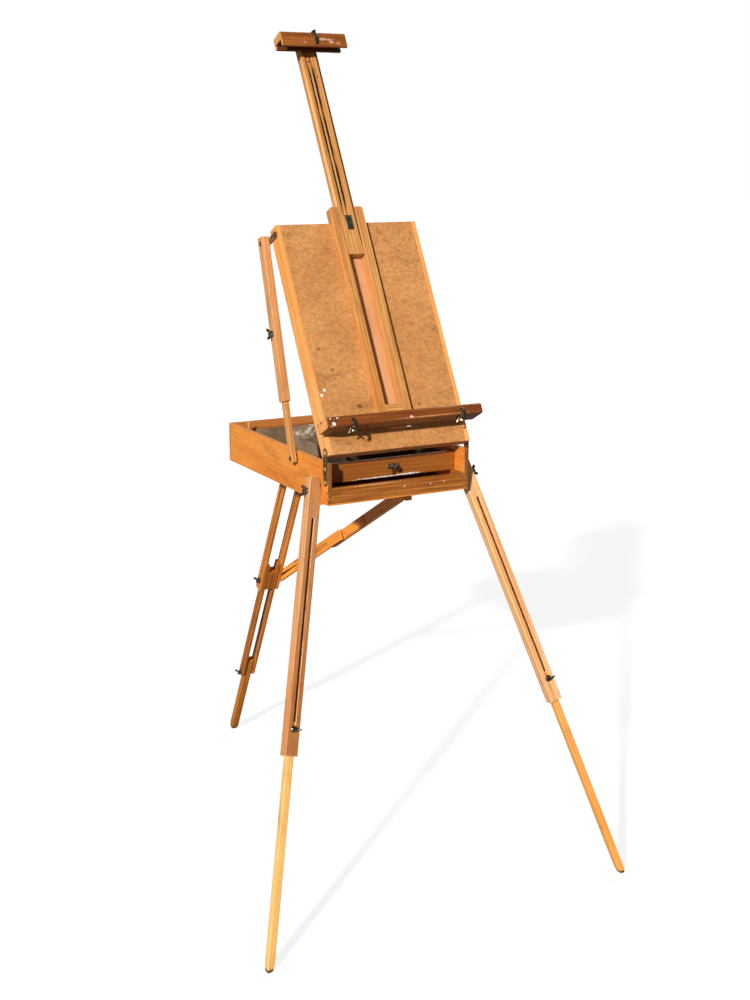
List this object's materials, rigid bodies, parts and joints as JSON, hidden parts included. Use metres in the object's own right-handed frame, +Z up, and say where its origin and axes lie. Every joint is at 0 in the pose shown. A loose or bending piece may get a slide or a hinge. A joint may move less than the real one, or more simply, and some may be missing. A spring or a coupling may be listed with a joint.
{
  "type": "folding sketch box easel",
  "caption": "Wooden sketch-box easel: a drawer box on three folding legs, with a tilting lid, a brace, a sliding mast, a canvas tray and a top clamp.",
  "frame": {"origin": "on the ground in the middle of the footprint of the three feet", "axes": "+X to the painter's right, +Y away from the painter, +Z up"},
  "size_m": [0.961, 1.3111, 1.9929],
  "materials": {
    "honey_wood": "varnished beech, honey orange",
    "front_wood": "brown oiled beech with a strong straight grain",
    "lid_ply": "mottled brown plywood under worn varnish",
    "rail_wood": "light beech, satin",
    "tray_wood": "reddish brown varnished hardwood",
    "leg_wood": "worn satin beech",
    "pale_wood": "pale bare beech",
    "drawer_wood": "brown orange beech, satin",
    "bronze": "dark bronzed brass, worn bright on the edges",
    "zinc": "dull grey zinc sheet with dried paint",
    "handle_leather": "dark brown strap leather"
  },
  "bodies": {
    "box": {"box_bottom": "honey_wood", "box_side_left": "honey_wood", "box_side_right": "honey_wood", "box_back": "tray_wood", "box_front_rail": "front_wood", "side_laths": "honey_wood", "drawer_runners": "drawer_wood", "leg_wedges": "honey_wood", "link_plates": "bronze", "link_rivets": "bronze", "rear_hinge_block": "honey_wood", "strut_anchor": "honey_wood", "hinge_pins": "bronze", "handle_strap": "handle_leather", "handle_plates": "bronze"},
    "drawer": {"drawer_front": "drawer_wood", "drawer_sides": "drawer_wood", "drawer_back": "drawer_wood", "drawer_bottom": "drawer_wood", "zinc_tray": "zinc", "zinc_dividers": "zinc", "latch_plate": "bronze"},
    "latch": {"latch_knob": "bronze"},
    "lid": {"lid_side_left": "honey_wood", "lid_side_right": "honey_wood", "lid_end_top": "honey_wood", "lid_end_bottom": "lid_ply", "lid_panel": "lid_ply", "brace_bracket": "bronze"},
    "carrier": {"channel_rails": "rail_wood", "channel_board": "rail_wood", "tray_block": "rail_wood", "tray": "tray_wood", "tray_hooks": "bronze"},
    "tray_wing_left": {"tray_wing_left": "bronze"},
    "tray_wing_right": {"tray_wing_right": "bronze"},
    "mast": {"mast_bar": "rail_wood", "spring_plate": "bronze"},
    "clamp": {"clamp_lower_bar": "tray_wood", "clamp_upper_bar": "tray_wood", "clamp_hook": "bronze"},
    "clamp_wing": {"clamp_wing": "bronze"},
    "brace_bar": {"brace_lower": "pale_wood"},
    "brace_sleeve": {"brace_upper": "leg_wood"},
    "brace_wing": {"brace_wing": "bronze"},
    "rear_leg": {"rear_rails": "honey_wood"},
    "rear_middle": {"middle_rails": "honey_wood"},
    "rear_foot": {"rear_foot": "pale_wood"},
    "elbow_wing": {"elbow_wing": "bronze"},
    "ankle_wing": {"ankle_wing": "bronze"},
    "strut_top": {"strut_upper": "honey_wood"},
    "strut_end": {"strut_lower": "honey_wood"},
    "leg_left": {"leg_upper_left": "leg_wood"},
    "leg_bar_left": {"leg_lower_left": "pale_wood"},
    "hip_wing_left": {"hip_wing_left": "bronze"},
    "leg_wing_left": {"leg_wing_left": "bronze"},
    "leg_right": {"leg_upper_right": "leg_wood"},
    "leg_bar_right": {"leg_lower_right": "pale_wood"},
    "hip_wing_right": {"hip_wing_right": "bronze"},
    "leg_wing_right": {"leg_wing_right": "bronze"}
  },
  "joints": [
    {"name": "lid_tilt", "type": "hinge", "parent": "box", "child": "lid", "pos_m": [0, -0.3575, 1.0573], "axis": [-1, 0, 0], "range_deg": [-10, 61.5]},
    {"name": "brace_swing", "type": "hinge", "parent": "box", "child": "brace_bar", "pos_m": [-0.195, -0.2095, 1.018], "axis": [-1, 0, 0], "range_deg": [-12.56, 74.68]},
    {"name": "brace_reach", "type": "slide", "parent": "brace_bar", "child": "brace_sleeve", "axis": [0, 0.2833, 0.959], "range_m": [-0.124, 0.021]},
    {"name": "brace_lock", "type": "hinge", "parent": "brace_sleeve", "child": "brace_wing", "pos_m": [-0.206, -0.12648, 1.29899], "axis": [-1, 0, 0], "continuous": true},
    {"name": "drawer_slide", "type": "slide", "parent": "box", "child": "drawer", "axis": [0, -1, 0], "range_m": [0, 0.3]},
    {"name": "latch_turn", "type": "hinge", "parent": "drawer", "child": "latch", "pos_m": [0.006, -0.3245, 1.002], "axis": [0, -1, 0], "range_deg": [-90, 90]},
    {"name": "carrier_slide", "type": "slide", "parent": "lid", "child": "carrier", "axis": [0, 0.4772, 0.8788], "range_m": [-0.033, 0.2]},
    {"name": "mast_slide", "type": "slide", "parent": "carrier", "child": "mast", "axis": [0, 0.4772, 0.8788], "range_m": [-0.33, 0.05]},
    {"name": "clamp_slide", "type": "slide", "parent": "mast", "child": "clamp", "axis": [0, 0.4772, 0.8788], "range_m": [-0.06, 0]},
    {"name": "tray_lock_left", "type": "hinge", "parent": "carrier", "child": "tray_wing_left", "pos_m": [-0.141, -0.39424, 1.11537], "axis": [0, -0.4772, -0.8788], "continuous": true},
    {"name": "tray_lock_right", "type": "hinge", "parent": "carrier", "child": "tray_wing_right", "pos_m": [0.141, -0.39424, 1.11537], "axis": [0, -0.4772, -0.8788], "continuous": true},
    {"name": "clamp_lock", "type": "hinge", "parent": "clamp", "child": "clamp_wing", "pos_m": [0.003, 0.08649, 1.98087], "axis": [0, 0.4772, 0.8788], "continuous": true},
    {"name": "leg_fold_left", "type": "hinge", "parent": "box", "child": "leg_left", "pos_m": [-0.20382, -0.3295, 0.963], "axis": [0.9634, 0, -0.2682], "range_deg": [0, 107.5]},
    {"name": "leg_reach_left", "type": "slide", "parent": "leg_left", "child": "leg_bar_left", "axis": [0.2557, 0.3019, 0.9184], "range_m": [0, 0.457]},
    {"name": "hip_lock_left", "type": "hinge", "parent": "box", "child": "hip_wing_left", "pos_m": [-0.20382, -0.3295, 0.963], "axis": [-0.9634, 0, 0.2682], "continuous": true},
    {"name": "leg_lock_left", "type": "hinge", "parent": "leg_bar_left", "child": "leg_wing_left", "pos_m": [-0.33854, -0.50247, 0.47919], "axis": [0.081, -0.9533, 0.2908], "continuous": true},
    {"name": "leg_fold_right", "type": "hinge", "parent": "box", "child": "leg_right", "pos_m": [0.20382, -0.3295, 0.963], "axis": [0.9634, 0, 0.2682], "range_deg": [0, 107.5]},
    {"name": "leg_reach_right", "type": "slide", "parent": "leg_right", "child": "leg_bar_right", "axis": [-0.2557, 0.3019, 0.9184], "range_m": [0, 0.457]},
    {"name": "hip_lock_right", "type": "hinge", "parent": "box", "child": "hip_wing_right", "pos_m": [0.20382, -0.3295, 0.963], "axis": [0.9634, 0, 0.2682], "continuous": true},
    {"name": "leg_lock_right", "type": "hinge", "parent": "leg_bar_right", "child": "leg_wing_right", "pos_m": [0.33854, -0.50247, 0.47919], "axis": [-0.081, -0.9533, 0.2908], "continuous": true},
    {"name": "rear_fold", "type": "hinge", "parent": "box", "child": "rear_leg", "pos_m": [0, 0.1765, 0.919], "axis": [-1, 0, 0], "range_deg": [0, 115]},
    {"name": "elbow_fold", "type": "hinge", "parent": "rear_leg", "child": "rear_middle", "pos_m": [0, 0.36605, 0.54757], "axis": [1, 0, 0], "range_deg": [0, 165]},
    {"name": "ankle_fold", "type": "hinge", "parent": "rear_middle", "child": "rear_foot", "pos_m": [0, 0.53242, 0.22157], "axis": [1, 0, 0], "range_deg": [0, 178]},
    {"name": "elbow_lock", "type": "hinge", "parent": "rear_leg", "child": "elbow_wing", "pos_m": [-0.03, 0.36605, 0.54757], "axis": [-1, 0, 0], "continuous": true},
    {"name": "ankle_lock", "type": "hinge", "parent": "rear_middle", "child": "ankle_wing", "pos_m": [-0.02, 0.53242, 0.22157], "axis": [-1, 0, 0], "continuous": true},
    {"name": "strut_swing", "type": "hinge", "parent": "box", "child": "strut_top", "pos_m": [0.042, -0.292, 0.919], "axis": [1, 0, 0], "range_deg": [-0.5, 28.87]},
    {"name": "strut_knee", "type": "hinge", "parent": "strut_top", "child": "strut_end", "pos_m": [0.038, 0.05956, 0.72057], "axis": [-1, 0, 0], "range_deg": [-0.5, 178.25]}
  ],
  "couplings": [
    {"joint": "brace_swing", "follows": "lid_tilt", "ratio": 1.2061},
    {"joint": "brace_reach", "follows": "lid_tilt", "m_per_rad": -0.11459},
    {"joint": "strut_swing", "follows": "rear_fold", "ratio": 0.24669},
    {"joint": "strut_knee", "follows": "rear_fold", "ratio": 1.5456}
  ]
}
